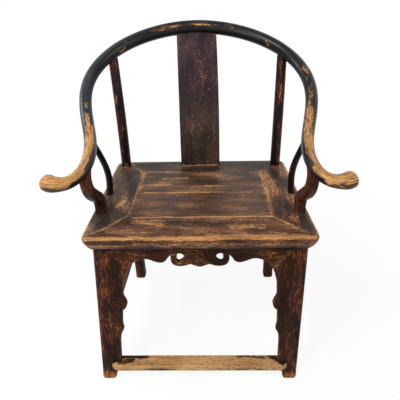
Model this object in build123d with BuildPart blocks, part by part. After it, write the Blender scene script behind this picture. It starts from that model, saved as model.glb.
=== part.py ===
"""Horseshoe back armchair in lacquered elm, put together with mortises, tenons, mitres and wedged laps.

+Z is up, -Y is the front and +X is the sitter's left. The origin is on the floor, under the middle of
the chair's whole length and width. Every size is in millimetres.
"""

import os
from math import asin, cos, degrees, radians, sin

from build123d import *

os.makedirs("parts", exist_ok=True)

# ---------------------------------------------------------------- driving dimensions

seat_width = 608.0
seat_front = -270.0
seat_rear = 234.0
seat_top = 515.0
seat_thickness = 48.0
seat_corner_radius = 24.0
front_rail_width = 106.0
rear_rail_width = 100.0
side_rail_width = 102.0

board_thickness = 12.0
board_joints = (-18.0, 29.0)
board_tongue_thickness = 4.0
board_tongue_length = 6.0

front_leg_size = 41.0
front_leg_top = (261.0, -229.0)
front_foot = (276.0, -251.0)
rear_leg_size = 37.0
leg_rounding = 8.0
rear_foot = (266.0, 209.0)
rear_post_base = (268.5, 199.0)
post_tip = (273.8, 214.0, 889.0)
post_radius = 16.3
tenon_radius = 8.0

foot_easing = 4.0

apron_thickness = 14.0
apron_setback = 4.0
stretcher_width = 22.0
side_stretcher_bottom = 178.0
side_stretcher_height = 50.0
rear_stretcher_bottom = 124.0
rear_stretcher_height = 34.0
footrest_top = 66.0
footrest_thickness = 22.0

splat_bottom_width = 138.0
splat_top_width = 133.0
splat_thickness = 12.0
gooseneck_thickness = 28.0
gooseneck_x = 281.0

lap_at = 0.653
lap_length = 86.0
wedge_size = 9.0
wedge_offset = -14.0
peg_radius = 3.0
peg_length = 38.0
frame_tenon_width = 32.0
frame_tenon_thickness = 14.0
frame_tenon_reach = 262.0
batten_x = 105.0
batten_width = 36.0
batten_depth = 22.0
batten_tenon_length = 15.0
leg_tenon_size = 22.0
leg_tenon_length = 30.0
panel_tongue_length = 7.0
panel_tongue_thickness = 5.0
side_apron_thickness = 12.0
side_apron_depth = 38.0
bracket_depth = 90.0
bracket_width = 34.0

# Stations of the crest rail from the middle of the back to the hand grip on the +X side:
# centre x, y, z, then half the rail's width and half its height.
crest_stations = [
    (0.0, 303.0, 974.0, 17.5, 21.5),
    (110.0, 291.3, 964.0, 17.5, 21.3),
    (187.0, 268.5, 945.0, 17.8, 20.8),
    (246.0, 238.6, 921.0, 18.0, 20.3),
    (292.0, 199.0, 892.0, 18.3, 19.5),
    (322.0, 153.0, 860.0, 18.5, 19.0),
    (336.0, 103.0, 826.0, 18.3, 18.6),
    (334.5, 50.0, 788.0, 18.0, 18.2),
    (321.0, -3.0, 752.0, 17.6, 17.8),
    (303.5, -57.0, 723.0, 17.1, 17.3),
    (289.0, -112.0, 704.0, 16.8, 17.0),
    (282.0, -170.0, 689.0, 16.3, 16.5),
    (283.0, -217.0, 682.0, 15.6, 15.8),
    (290.0, -265.5, 681.5, 14.8, 15.0),
    (303.0, -291.0, 683.5, 15.6, 15.8),
    (320.5, -300.5, 686.4, 18.0, 18.4),
    (332.0, -300.6, 688.7, 19.8, 20.2),
    (338.4, -298.2, 689.9, 19.8, 19.8),
]
grip_rounding = 11.5
grip_turns = (22.0, 44.0, 63.0, 79.0)
crest_cuts = 2

# ---------------------------------------------------------------- derived places

seat_bottom = seat_top - seat_thickness
seat_middle = (seat_front + seat_rear) / 2
seat_depth = seat_rear - seat_front
opening_half = seat_width / 2 - side_rail_width
opening_front = seat_front + front_rail_width
opening_rear = seat_rear - rear_rail_width
opening_depth = opening_rear - opening_front
opening_middle = (opening_front + opening_rear) / 2
board_bottom = seat_top - board_thickness
tenon_height = seat_bottom + 25.0
underside = Plane.XY.offset(seat_bottom)

leg_lean = (front_leg_top[1] - front_foot[1]) / seat_bottom
apron_face = front_leg_top[1] - front_leg_size / 2 + apron_setback
apron_plane = Plane(origin=(0, apron_face, seat_bottom), x_dir=(1, 0, 0), z_dir=(0, -1, leg_lean))


def write(part, label):
    """Label one finished piece and write it under the same name."""
    part.label = label
    export_step(part, f"parts/{label}.step")


def write_pair(part, label):
    """Write the +X piece as the sitter's left one, and its mirror image as the right one."""
    write(part, f"{label}_left")
    write(mirrored(part), f"{label}_right")


def on_leg(top, foot, height):
    """The middle of a leg at a height above the floor."""
    share = height / seat_bottom
    return (foot[0] + share * (top[0] - foot[0]), foot[1] + share * (top[1] - foot[1]), height)


def mirrored(part):
    """The same piece on the other side of the chair."""
    with BuildPart() as other:
        mirror(part, about=Plane.YZ)
    return other.part


def shifted(part, x, y):
    """The same piece moved level."""
    with BuildPart() as moved:
        with Locations((x, y, 0)):
            add(part)
    return moved.part


def section_plane(path, point):
    """The plane square to a path at a point of it, with its x axis level."""
    tangent = path % path.param_at_point(point)
    return Plane(origin=point, x_dir=tangent.cross(Vector(0, 0, 1)), z_dir=tangent)


def finer(stations, cuts):
    """The same run of stations with others between them, all on one smooth curve."""
    path = Edge.make_spline([Vector(*station[:3]) for station in stations])
    marks = [path.param_at_point(Vector(*station[:3])) for station in stations]
    run = []
    for here, there, start, end in zip(stations, stations[1:], marks, marks[1:]):
        for share in [cut / cuts for cut in range(cuts)]:
            sizes = [a + share * (b - a) for a, b in zip(here[3:], there[3:])]
            run.append((*(path @ (start + share * (end - start))), *sizes))
    return run + [stations[-1]]


def post(stations):
    """A tapering upright of round section, cut level at each station of x, y, z and radius."""
    with BuildPart() as upright:
        for x, y, z, radius in stations:
            with BuildSketch(Plane((x, y, z))):
                Circle(radius)
        loft(ruled=True)
    return upright.part


def bar(start, end, width, height):
    """A square-edged bar between two points, with its width level."""
    start, end = Vector(*start), Vector(*end)
    with BuildPart() as straight:
        with BuildSketch(section_plane(Edge.make_line(start, end), start)):
            Rectangle(width, height)
        extrude(amount=(end - start).length)
    return straight.part


def leaning_leg(top, foot, size, radius):
    """A leg from the underside of the seat to the floor, with rounded corners and an eased foot."""
    lean = Vector(top[0] - foot[0], top[1] - foot[1], seat_bottom)
    start = Vector(foot[0], foot[1], 0) - lean * 0.1
    with BuildPart() as leg:
        with BuildSketch(Plane(origin=start, x_dir=(1, 0, 0), z_dir=lean)):
            RectangleRounded(size, size, radius)
        extrude(amount=1.2 * lean.length)
        with Locations((*top, seat_bottom / 2)):
            Box(200, 200, seat_bottom, mode=Mode.INTERSECT)
        chamfer(leg.edges().group_by(Axis.Z)[0], length=foot_easing)
    return leg.part


def bracket_board(plane, length, back, thickness):
    """A board hung under the seat between two legs' middles, with a curved bracket down each leg."""
    foot = front_leg_size / 2 + 7
    turn = foot + bracket_width
    far_foot, far_turn = length - foot, length - turn
    near_slopes, far_slopes = ((0.1, 1), (1, 0)), ((-0.1, 1), (-1, 0))
    with BuildPart() as board:
        with BuildSketch(plane.offset(back)):
            with BuildLine():
                Polyline((0, -bracket_depth), (0, 0), (length, 0), (length, -bracket_depth))
                Line((0, -bracket_depth), (foot, -bracket_depth))
                Line((length, -bracket_depth), (far_foot, -bracket_depth))
                Spline((foot, -bracket_depth), (turn, -side_apron_depth), tangents=near_slopes)
                Spline((far_foot, -bracket_depth), (far_turn, -side_apron_depth), tangents=far_slopes)
                Line((turn, -side_apron_depth), (far_turn, -side_apron_depth))
            make_face()
        extrude(amount=thickness)
    return board.part


# ---------------------------------------------------------------- blanks that later pieces are scribed to

crest_half = crest_stations[1:]
crest_all = [(-x, y, z, a, b) for x, y, z, a, b in reversed(crest_half)] + crest_stations
crest_path = Edge.make_spline([Vector(*station[:3]) for station in crest_all])
crest_run = finer(crest_all, crest_cuts)
crest_run = crest_run[len(crest_run) // 2 - 2 :]
grip_plane = section_plane(crest_path, crest_path @ 1)
grip_radius = crest_stations[-1][3]

with BuildPart() as crest_blank:
    for x, y, z, half_width, half_height in crest_run:
        with BuildSketch(section_plane(crest_path, Vector(x, y, z))):
            Ellipse(half_height, half_width, rotation=90)
    for turn in grip_turns:
        with BuildSketch(grip_plane.offset(grip_rounding * sin(radians(turn)))):
            Ellipse(grip_radius * cos(radians(turn)), grip_radius * cos(radians(turn)), rotation=90)
    loft(ruled=True)
    split(bisect_by=Plane.YZ)
    mirror(crest_blank.part, about=Plane.YZ)

front_leg_blank = leaning_leg(front_leg_top, front_foot, front_leg_size, leg_rounding)
rear_leg_blank = leaning_leg(rear_post_base, rear_foot, rear_leg_size, leg_rounding)
front_leg_blank_right = mirrored(front_leg_blank)
rear_leg_blank_right = mirrored(rear_leg_blank)

# ---------------------------------------------------------------- footrest and stretchers

footrest_middle = footrest_top - footrest_thickness / 2
with BuildPart() as footrest:
    with BuildSketch(Plane.XY.offset(footrest_top - footrest_thickness)):
        Polygon(
            (-247, -278), (247, -278), (266, -268), (266, -238), (-266, -238), (-266, -268), align=None
        )
    extrude(amount=footrest_thickness)
    fillet(footrest.edges().filter_by(Axis.X).group_by(Axis.Y)[0], radius=5)
    add(front_leg_blank, mode=Mode.SUBTRACT)
    add(front_leg_blank_right, mode=Mode.SUBTRACT)
    with Locations((0, -252, footrest_middle)):
        Box(2 * 270, 20, 9)
write(footrest.part, "footrest")

side_height = side_stretcher_bottom + side_stretcher_height / 2
side_start = on_leg(front_leg_top, front_foot, side_height)
side_end = on_leg(rear_post_base, rear_foot, side_height)
side_stretcher_bar = bar(side_start, side_end, stretcher_width, side_stretcher_height)
side_stretcher_tenon = bar(side_start, side_end, stretcher_width - 12, side_stretcher_height - 12)
with BuildPart() as side_stretcher:
    add(side_stretcher_bar)
    add(front_leg_blank, mode=Mode.SUBTRACT)
    add(rear_leg_blank, mode=Mode.SUBTRACT)
    add(side_stretcher_tenon)
write_pair(side_stretcher.part, "side_stretcher")

rear_height = rear_stretcher_bottom + rear_stretcher_height / 2
rear_end = on_leg(rear_post_base, rear_foot, rear_height)
rear_start = (-rear_end[0], *rear_end[1:])
rear_stretcher_bar = bar(rear_start, rear_end, stretcher_width, rear_stretcher_height)
rear_stretcher_tenon = bar(rear_start, rear_end, stretcher_width - 12, rear_stretcher_height - 12)
with BuildPart() as rear_stretcher:
    add(rear_stretcher_bar)
    add(rear_leg_blank, mode=Mode.SUBTRACT)
    add(rear_leg_blank_right, mode=Mode.SUBTRACT)
    add(rear_stretcher_tenon)
write(rear_stretcher.part, "rear_stretcher")

# ---------------------------------------------------------------- side and rear aprons

side_run = Vector(rear_post_base[0] - front_leg_top[0], rear_post_base[1] - front_leg_top[1], 0)
side_origin = (*front_leg_top, seat_bottom)
side_plane = Plane(origin=side_origin, x_dir=side_run, z_dir=(side_run.Y, -side_run.X, 0))
side_back = front_leg_size / 2 - apron_setback - side_apron_thickness
tongue_inset = (side_apron_thickness - panel_tongue_thickness) / 2
side_board = bracket_board(side_plane, side_run.length, side_back, side_apron_thickness)
side_tongue = bracket_board(side_plane, side_run.length, side_back + tongue_inset, panel_tongue_thickness)
leg_forward = shifted(front_leg_blank, 0, -panel_tongue_length)
leg_backward = shifted(rear_leg_blank, 0, panel_tongue_length)
with BuildPart() as side_tongues:
    add(side_tongue)
    add(leg_forward, mode=Mode.SUBTRACT)
    add(leg_backward, mode=Mode.SUBTRACT)
with BuildPart() as side_apron:
    add(side_board)
    add(front_leg_blank, mode=Mode.SUBTRACT)
    add(rear_leg_blank, mode=Mode.SUBTRACT)
    add(side_tongues.part)
    add(side_apron.solids().sort_by(SortBy.VOLUME)[-1], mode=Mode.REPLACE)
write_pair(side_apron.part, "side_apron")

rear_plane = Plane(origin=(*rear_post_base, seat_bottom), x_dir=(-1, 0, 0), z_dir=(0, 1, 0))
rear_back = rear_leg_size / 2 - apron_setback - side_apron_thickness
rear_board = bracket_board(rear_plane, 2 * rear_post_base[0], rear_back, side_apron_thickness)
rear_tongue = bracket_board(
    rear_plane, 2 * rear_post_base[0], rear_back + tongue_inset, panel_tongue_thickness
)
leg_outward = shifted(rear_leg_blank, panel_tongue_length, 0)
with BuildPart() as rear_tongues:
    add(rear_tongue)
    add(leg_outward, mode=Mode.SUBTRACT)
    mirror(leg_outward, about=Plane.YZ, mode=Mode.SUBTRACT)
with BuildPart() as rear_apron:
    add(rear_board)
    add(rear_leg_blank, mode=Mode.SUBTRACT)
    add(rear_leg_blank_right, mode=Mode.SUBTRACT)
    add(rear_tongues.part)
    add(rear_apron.solids().sort_by(SortBy.VOLUME)[-1], mode=Mode.REPLACE)
write(rear_apron.part, "rear_apron")

# ---------------------------------------------------------------- cusped front apron

# The top board is mitred to the two uprights. Outlines run in the plane of the apron, with heights
# measured from the underside of the seat.
mitre_low = (194.0, -62.0)
mitre_high = (248.0, 0.0)
shoulder_curve = [mitre_low, (181.0, -45.0), (166.0, -35.5), (149.0, -30.5), (134.0, -33.0)]
wave_curve = [(119.0, -39.5), (104.0, -42.5), (92.5, -38.0), (85.5, -28.0), (78.0, -19.5)]
scroll_curve = [(78.0, -19.5), (77.0, -37.0), (71.0, -48.0), (56.6, -53.5), (41.0, -52.5), (26.0, -47.5)]
lobe_curve = [(26.0, -47.5), (12.0, -52.5), (0.0, -56.0), (-12.0, -52.5), (-26.0, -47.5)]
comma_curve = [
    (62.0, -17.0), (49.0, -15.0), (42.0, -24.5), (48.0, -36.0),
    (57.0, -40.0), (62.5, -33.0), (61.0, -25.0),
]
leaf_curve = [mitre_low, (205.0, -95.0), (210.8, -119.0), (211.4, -147.0), (202.5, -183.0)]
stem_curve = [(202.5, -183.0), (216.5, -211.0), (223.8, -247.0), (220.0, -276.0)]
foot_curve = [(220.0, -276.0), (228.5, -299.0), (232.0, -332.0), (234.5, -366.0), (236.0, -407.0)]


def flip(points):
    """The same run of points on the other side of the middle."""
    return [(-x, y) for x, y in points]


with BuildPart() as front_apron_top:
    with BuildSketch(apron_plane):
        with BuildLine():
            for curve in (shoulder_curve + wave_curve, scroll_curve):
                Spline(*curve)
                Spline(*flip(curve))
            Spline(*lobe_curve)
            Polyline(mitre_low, mitre_high, (-mitre_high[0], 0), (-mitre_low[0], mitre_low[1]))
        make_face()
        with BuildLine():
            Spline(*comma_curve, periodic=True)
        make_face(mode=Mode.SUBTRACT)
        with BuildLine():
            Spline(*flip(comma_curve), periodic=True)
        make_face(mode=Mode.SUBTRACT)
        with Locations((69.5, -17.5), (-69.5, -17.5)):
            Rectangle(20, 2, mode=Mode.SUBTRACT)
    extrude(amount=-apron_thickness)
    add(front_leg_blank, mode=Mode.SUBTRACT)
    add(front_leg_blank_right, mode=Mode.SUBTRACT)
write(front_apron_top.part, "front_apron_top")


def front_apron_upright(back, thickness):
    """The part of the front apron that runs down one leg, taken on into the leg."""
    with BuildPart() as upright:
        with BuildSketch(apron_plane.offset(-back)):
            with BuildLine():
                for curve in (leaf_curve, stem_curve, foot_curve):
                    Spline(*curve)
                Polyline(foot_curve[-1], (278, foot_curve[-1][1]), (278, 0), mitre_high, mitre_low)
            make_face()
        extrude(amount=-thickness)
        with Locations((0, -250, 0)):
            Box(700, 120, 2 * footrest_top, mode=Mode.SUBTRACT)
    return upright.part


upright_body = front_apron_upright(0, apron_thickness)
upright_tongue = front_apron_upright(4.5, panel_tongue_thickness)
leg_sideways = shifted(front_leg_blank, panel_tongue_length, 0)
with BuildPart() as upright_tongue_short:
    add(upright_tongue)
    add(leg_sideways, mode=Mode.SUBTRACT)
    add(upright_tongue_short.solids().sort_by(SortBy.VOLUME)[-1], mode=Mode.REPLACE)
with BuildPart() as front_apron_side:
    add(upright_body)
    add(front_leg_blank, mode=Mode.SUBTRACT)
    add(front_apron_side.solids().sort_by(SortBy.VOLUME)[-1], mode=Mode.REPLACE)
    add(upright_tongue_short.part)
write_pair(front_apron_side.part, "front_apron")

# ---------------------------------------------------------------- legs

with BuildPart() as front_leg:
    add(front_leg_blank)
    with Locations((*front_leg_top, seat_bottom + leg_tenon_length / 2)):
        Box(leg_tenon_size, leg_tenon_size, leg_tenon_length)
    for joined in (footrest, side_stretcher, side_apron, front_apron_side):
        add(joined.part, mode=Mode.SUBTRACT)
write_pair(front_leg.part, "front_leg")

# Above the seat the post is bent back along an arc, and its whole end is let into the crest rail.
bend_run = Vector(post_tip[0] - rear_post_base[0], post_tip[1] - rear_post_base[1], 0)
bend_rise = post_tip[2] - seat_top
bend_radius = (bend_rise**2 + bend_run.length**2) / (2 * bend_run.length)
bend_centre = Vector(*rear_post_base, seat_top) + bend_run.normalized() * bend_radius
bend_axis = Axis(bend_centre, Vector(0, 0, 1).cross(bend_run))
bend_angle = degrees(asin(bend_rise / bend_radius))
with BuildPart() as rear_post:
    with BuildSketch(Plane((*rear_post_base, seat_top))):
        Circle(post_radius)
    extrude(amount=-seat_thickness)
    with BuildSketch(Plane((*rear_post_base, seat_top))):
        Circle(post_radius)
    revolve(axis=bend_axis, revolution_arc=bend_angle)
with BuildPart() as rear_leg:
    add(rear_leg_blank)
    add(rear_post.part)
    with Locations((*post_tip[:2], post_tip[2] - 8)):
        Cylinder(tenon_radius, 40)
    for joined in (side_stretcher, rear_stretcher, side_apron, rear_apron):
        add(joined.part, mode=Mode.SUBTRACT)
write_pair(rear_leg.part, "rear_leg")

# ---------------------------------------------------------------- splat

splat_curve = [
    (199.0, 495.0), (196.0, 560.0), (202.0, 660.0),
    (223.0, 770.0), (257.0, 870.0), (303.0, 965.0),
]
splat_front = [(y - splat_thickness / 2, z) for y, z in splat_curve]
splat_back = [(y + splat_thickness / 2, z) for y, z in splat_curve]
splat_foot, splat_head = splat_curve[0][1], splat_curve[-1][1]
with BuildPart() as splat:
    with BuildSketch(Plane.YZ):
        with BuildLine():
            Spline(*splat_front)
            Spline(*splat_back)
            Line(splat_front[0], splat_back[0])
            Line(splat_front[-1], splat_back[-1])
        make_face()
    extrude(amount=splat_bottom_width / 2, both=True)
    with BuildSketch(Plane.XZ):
        Polygon(
            (-splat_bottom_width / 2, splat_foot),
            (splat_bottom_width / 2, splat_foot),
            (splat_top_width / 2, splat_head),
            (-splat_top_width / 2, splat_head),
            align=None,
        )
    extrude(amount=-400, mode=Mode.INTERSECT)
write(splat.part, "splat")

# ---------------------------------------------------------------- goosenecks and side posts

neck_front = [(-142.0, 515.0), (-144.0, 545.0), (-150.0, 556.0)]
neck_sweep = [
    (-150.0, 556.0), (-175.0, 574.0), (-202.0, 597.0),
    (-219.0, 622.0), (-226.0, 645.0), (-228.0, 680.0),
]
neck_back = [(-110.0, 515.0), (-111.0, 545.0), (-128.0, 572.0), (-158.0, 597.0), (-188.0, 621.0)]
neck_hollow = [
    (-188.0, 621.0), (-196.0, 630.0), (-203.0, 645.0),
    (-204.0, 660.0), (-196.0, 674.0), (-180.0, 690.0),
]
with BuildPart() as gooseneck:
    with BuildSketch(Plane.YZ.offset(gooseneck_x - gooseneck_thickness / 2)):
        with BuildLine():
            for curve in (neck_front, neck_sweep, neck_back, neck_hollow):
                Spline(*curve)
            Line(neck_front[0], neck_back[0])
            Line(neck_sweep[-1], neck_hollow[-1])
        make_face()
    extrude(amount=gooseneck_thickness)
    add(crest_blank.part, mode=Mode.SUBTRACT)
    add(gooseneck.solids().sort_by(SortBy.VOLUME)[-1], mode=Mode.REPLACE)
    with Locations((gooseneck_x, -127, seat_top - 8), (gooseneck_x, -211, 670)):
        Box(12, 16, 24)
write_pair(gooseneck.part, "gooseneck")

side_post_stations = [
    (280.5, -24.0, seat_top, 10.0),
    (277.0, -20.0, 560.0, 9.8),
    (279.0, -25.0, 600.0, 9.5),
    (288.0, -40.0, 650.0, 9.0),
    (299.0, -60.0, 702.0, 8.5),
    (301.5, -64.4, 715.0, 8.4),
]
side_post_blank = post(finer(side_post_stations, 2))
with BuildPart() as side_post:
    add(side_post_blank)
    with Locations((*side_post_stations[0][:2], seat_top - 8)):
        Cylinder(6, 24)
write_pair(side_post.part, "side_post")

# ---------------------------------------------------------------- crest rail in three lapped pieces

lap_tangent = crest_path % lap_at
lap_up = lap_tangent.cross(Vector(0, 0, 1)).cross(lap_tangent)
lap_plane = Plane(origin=crest_path @ lap_at, x_dir=lap_tangent, z_dir=lap_up)
far = 900.0

# The arm keeps the upper half of the lap and the back keeps the lower half.
with BuildPart() as arm_side:
    with BuildSketch(lap_plane.offset(-far / 2)):
        with Locations((lap_length / 2 + far / 2, 0)):
            Rectangle(far, far)
    extrude(amount=far)
    with BuildSketch(lap_plane):
        Rectangle(lap_length + 2, 80)
    extrude(amount=60)

# A wedge crosses the lap from the inside of the chair, half in each tongue, and draws the shoulders
# tight.
wedge_plane = Plane(
    origin=lap_plane.origin + lap_plane.x_dir * wedge_offset, x_dir=lap_plane.x_dir, z_dir=lap_plane.y_dir
)
with BuildPart() as crest_wedge:
    with BuildSketch(wedge_plane.offset(-40)):
        Rectangle(wedge_size, wedge_size)
    with BuildSketch(wedge_plane.offset(40)):
        Rectangle(wedge_size + 2, wedge_size + 2)
    loft()
    add(crest_blank.part, mode=Mode.INTERSECT)
write_pair(crest_wedge.part, "crest_wedge")

with BuildPart() as crest_rail_centre:
    add(crest_blank.part)
    for joined in (arm_side, crest_wedge, rear_leg):
        add(joined.part, mode=Mode.SUBTRACT)
        mirror(joined.part, about=Plane.YZ, mode=Mode.SUBTRACT)
    add(splat.part, mode=Mode.SUBTRACT)
write(crest_rail_centre.part, "crest_rail_centre")

with BuildPart() as crest_rail_arm:
    add(crest_blank.part)
    add(arm_side.part, mode=Mode.INTERSECT)
    for joined in (crest_wedge, rear_leg, gooseneck, side_post):
        add(joined.part, mode=Mode.SUBTRACT)
write_pair(crest_rail_arm.part, "crest_rail")

# ---------------------------------------------------------------- seat boards in a mitred frame

batten_plane = Plane(origin=(batten_x, opening_rear, board_bottom), x_dir=(1, 0, 0), z_dir=(0, -1, 0))
with BuildPart() as seat_batten:
    with BuildSketch(batten_plane):
        with Locations((0, -batten_depth / 2)):
            Rectangle(batten_width, batten_depth)
        Polygon((-12, 0), (12, 0), (15, 4), (-15, 4), align=None)
    extrude(amount=opening_depth)
    with Locations((batten_x, opening_middle, tenon_height)):
        Box(batten_width - 12, opening_depth + 2 * batten_tenon_length, frame_tenon_thickness)
write_pair(seat_batten.part, "seat_batten")

board_edges = (opening_front, *board_joints, opening_rear)
boards = []
for front, rear in zip(board_edges, board_edges[1:]):
    front_reach = 0 if boards else board_tongue_length
    with BuildPart() as board:
        with Locations((0, (front + rear) / 2, seat_top - board_thickness / 2)):
            Box(2 * opening_half, rear - front, board_thickness)
        with Locations((0, (front + rear + board_tongue_length - front_reach) / 2, board_bottom + 5)):
            Box(
                2 * opening_half + 2 * board_tongue_length,
                rear - front + board_tongue_length + front_reach,
                board_tongue_thickness,
            )
        add(seat_batten.part, mode=Mode.SUBTRACT)
        mirror(seat_batten.part, about=Plane.YZ, mode=Mode.SUBTRACT)
        if boards:
            add(boards[-1], mode=Mode.SUBTRACT)
    boards.append(board.part)
for board_part, place in zip(boards, ("front", "middle", "rear")):
    write(board_part, f"seat_board_{place}")

# Height of each line round the moulded edge and how far it is set in, from the underside to the top.
seat_edge = [
    (seat_bottom, 20.0),
    (469.0, 17.6),
    (474.0, 13.0),
    (478.5, 9.8),
    (482.5, 7.5),
    (488.5, 4.6),
    (495.0, 2.2),
    (501.0, 0.7),
    (507.0, 0.0),
    (510.5, 0.6),
    (513.3, 2.2),
    (seat_top, 5.5),
]
with BuildPart() as seat_blank:
    for height, inset in seat_edge:
        with BuildSketch(Plane((0, seat_middle, height))):
            RectangleRounded(seat_width - 2 * inset, seat_depth - 2 * inset, seat_corner_radius - inset)
    loft(ruled=True)
    with Locations((0, opening_middle, seat_bottom)):
        Box(2 * opening_half, opening_depth, 3 * seat_thickness, mode=Mode.SUBTRACT)

peg_places = [(252.0, -194.0), (252.0, 160.0)]
with BuildPart() as frame_peg_front:
    with BuildSketch(underside):
        with Locations(peg_places[0]):
            RegularPolygon(peg_radius, 8)
    extrude(amount=peg_length)
write_pair(frame_peg_front.part, "frame_peg_front")
with BuildPart() as frame_peg_rear:
    with BuildSketch(underside):
        with Locations(peg_places[1]):
            RegularPolygon(peg_radius, 8)
    extrude(amount=peg_length)
write_pair(frame_peg_rear.part, "frame_peg_rear")


def beyond(inner, outer):
    """A point on the line of a mitre, a little outside the frame."""
    return (inner[0] + 1.1 * (outer[0] - inner[0]), inner[1] + 1.1 * (outer[1] - inner[1]))


front_inner = (opening_half, opening_front)
rear_inner = (opening_half, opening_rear)
front_outer = beyond(front_inner, (seat_width / 2, seat_front))
rear_outer = beyond(rear_inner, (seat_width / 2, seat_rear))


def cross_rail(inner, outer, tenon_middle, fitted):
    """A rail across the chair, mitred at its ends, with a tenon through each mitre."""
    with BuildPart() as rail:
        add(seat_blank.part)
        with BuildSketch(underside):
            Polygon((-inner[0], inner[1]), inner, outer, (-outer[0], outer[1]), align=None)
        extrude(amount=seat_thickness, mode=Mode.INTERSECT)
        with Locations((0, tenon_middle, tenon_height)):
            Box(2 * frame_tenon_reach, frame_tenon_width, frame_tenon_thickness)
        for piece in fitted:
            add(piece, mode=Mode.SUBTRACT)
            mirror(piece, about=Plane.YZ, mode=Mode.SUBTRACT)
    return rail.part


front_fitted = (boards[0], seat_batten.part, front_leg.part, frame_peg_front.part)
rear_fitted = (boards[-1], seat_batten.part, rear_leg.part, frame_peg_rear.part, splat.part)
seat_front_rail = cross_rail(front_inner, front_outer, peg_places[0][1], front_fitted)
seat_rear_rail = cross_rail(rear_inner, rear_outer, peg_places[1][1], rear_fitted)
write(seat_front_rail, "seat_front_rail")
write(seat_rear_rail, "seat_rear_rail")

with BuildPart() as seat_side_rail:
    add(seat_blank.part)
    with BuildSketch(underside):
        Polygon(front_inner, front_outer, rear_outer, rear_inner, align=None)
    extrude(amount=seat_thickness, mode=Mode.INTERSECT)
    for piece in (seat_front_rail, seat_rear_rail, *boards):
        add(piece, mode=Mode.SUBTRACT)
    for joined in (front_leg, rear_leg, gooseneck, side_post, frame_peg_front, frame_peg_rear):
        add(joined.part, mode=Mode.SUBTRACT)
write(seat_side_rail.part, "seat_left_rail")
write(mirrored(seat_side_rail.part), "seat_right_rail")
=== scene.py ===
"""A horseshoe back armchair in worn lacquer over elm, dressed over its CAD frame.

+Z is up, -Y is the front and +X is the sitter's left. Tables of places are in millimetres.
"""

from math import cos, radians, sin

import bmesh
import bpy
import numpy as np
from bpy.props import FloatProperty, FloatVectorProperty, PointerProperty
from mathutils import Matrix, Vector


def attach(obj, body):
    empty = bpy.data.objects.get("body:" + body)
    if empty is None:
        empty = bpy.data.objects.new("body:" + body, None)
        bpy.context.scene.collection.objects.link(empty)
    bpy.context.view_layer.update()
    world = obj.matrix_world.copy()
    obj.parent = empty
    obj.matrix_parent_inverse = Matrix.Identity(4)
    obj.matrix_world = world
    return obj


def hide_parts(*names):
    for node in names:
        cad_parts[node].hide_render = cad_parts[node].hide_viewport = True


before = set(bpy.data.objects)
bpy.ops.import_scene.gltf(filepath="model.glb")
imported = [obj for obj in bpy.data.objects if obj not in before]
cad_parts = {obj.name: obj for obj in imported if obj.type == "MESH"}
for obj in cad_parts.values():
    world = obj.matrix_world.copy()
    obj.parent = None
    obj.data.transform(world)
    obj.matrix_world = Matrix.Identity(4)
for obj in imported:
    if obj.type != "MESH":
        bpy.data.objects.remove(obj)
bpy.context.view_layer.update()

bl_info = {
    "name": "Horseshoe back armchair",
    "version": (1, 0, 0),
    "blender": (4, 5, 0),
    "location": "View3D > Sidebar > Armchair",
    "description": "Builds the pieces of a lacquered elm armchair and the studio that it stands in",
    "category": "Add Mesh",
}

MM = 0.001

SEAT_TOP = 515.0
SEAT_UNDER = 467.0
# Height of the rail above the seat, and the middle and half the spread of the feet from front to back.
RAIL_RISE = 455.0
FOOT_MIDDLE = -20.0
FOOT_SPREAD = 230.0

# Points closer than these, in metres, lie on one plane or are one point.
ON_PLANE = 1e-6
ONE_POINT = 1e-5
# Edges that turn by more than so many degrees stay sharp.
SHARP_ANGLE = 38
# Spacing in millimetres of the rings of points along most pieces, and along the rail and the rungs.
STEP = 5
RAIL_STEP = 4
RUNG_STEP = 6
# Number of points round a turned piece.
ROUND_SIDES = 40


def linear(hex_colour):
    """An sRGB hex colour as linear red, green and blue."""
    parts = [int(hex_colour[i : i + 2], 16) / 255 for i in (1, 3, 5)]
    return [c / 12.92 if c <= 0.04045 else ((c + 0.055) / 1.055) ** 2.4 for c in parts]


# ---------------------------------------------------------------- settings


class ArmchairSizes(bpy.types.PropertyGroup):
    """Small sizes that the joiner's tools and long use decide."""

    joint_gap: FloatProperty(
        name="Joint gap", description="Width of the line where two pieces meet",
        default=0.0006, unit="LENGTH",
    )
    edge_rounding: FloatProperty(
        name="Edge rounding", description="Radius that use has worn on sawn edges",
        default=0.0012, unit="LENGTH",
    )
    bead_radius: FloatProperty(
        name="Bead radius", description="Radius of the carved beads and veins",
        default=0.0011, unit="LENGTH",
    )
    grid: FloatProperty(
        name="Wear grid", description="Spacing of the points that carry the wear",
        default=0.005, unit="LENGTH",
    )
    rail_lean: FloatProperty(
        name="Rail lean", description="How far the top of the rail has settled sideways",
        default=0.008, unit="LENGTH",
    )
    foot_twist: FloatProperty(
        name="Foot twist", description="How far each foot has settled sideways",
        default=0.009, unit="LENGTH",
    )


class ArmchairFinish(bpy.types.PropertyGroup):
    """How worn and how glossy the whole chair is."""

    wear: FloatProperty(
        name="Wear", description="Coat rubbed away everywhere, on top of each piece's own wear",
        default=0.0, subtype="FACTOR",
    )
    gloss: FloatProperty(
        name="Gloss", description="Strength of the sheen, as a share of each finish's own",
        default=1.0, subtype="FACTOR",
    )
    raw_dark: FloatVectorProperty(
        name="Raw elm, dark", description="Pores and late wood of unlacquered elm",
        default=linear("#6b4a2c"), subtype="COLOR",
    )
    raw_pale: FloatVectorProperty(
        name="Raw elm, pale", description="Early wood of unlacquered elm",
        default=linear("#96703f"), subtype="COLOR",
    )


class ArmchairStage(bpy.types.PropertyGroup):
    """The studio."""

    floor_colour: FloatVectorProperty(
        name="Floor", description="Colour of the floor", default=linear("#e8e8e8"), subtype="COLOR",
    )
    key_power: FloatProperty(
        name="Key lamp", description="Power of the large lamp above the sitter's right",
        default=34.0, unit="POWER",
    )


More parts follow.
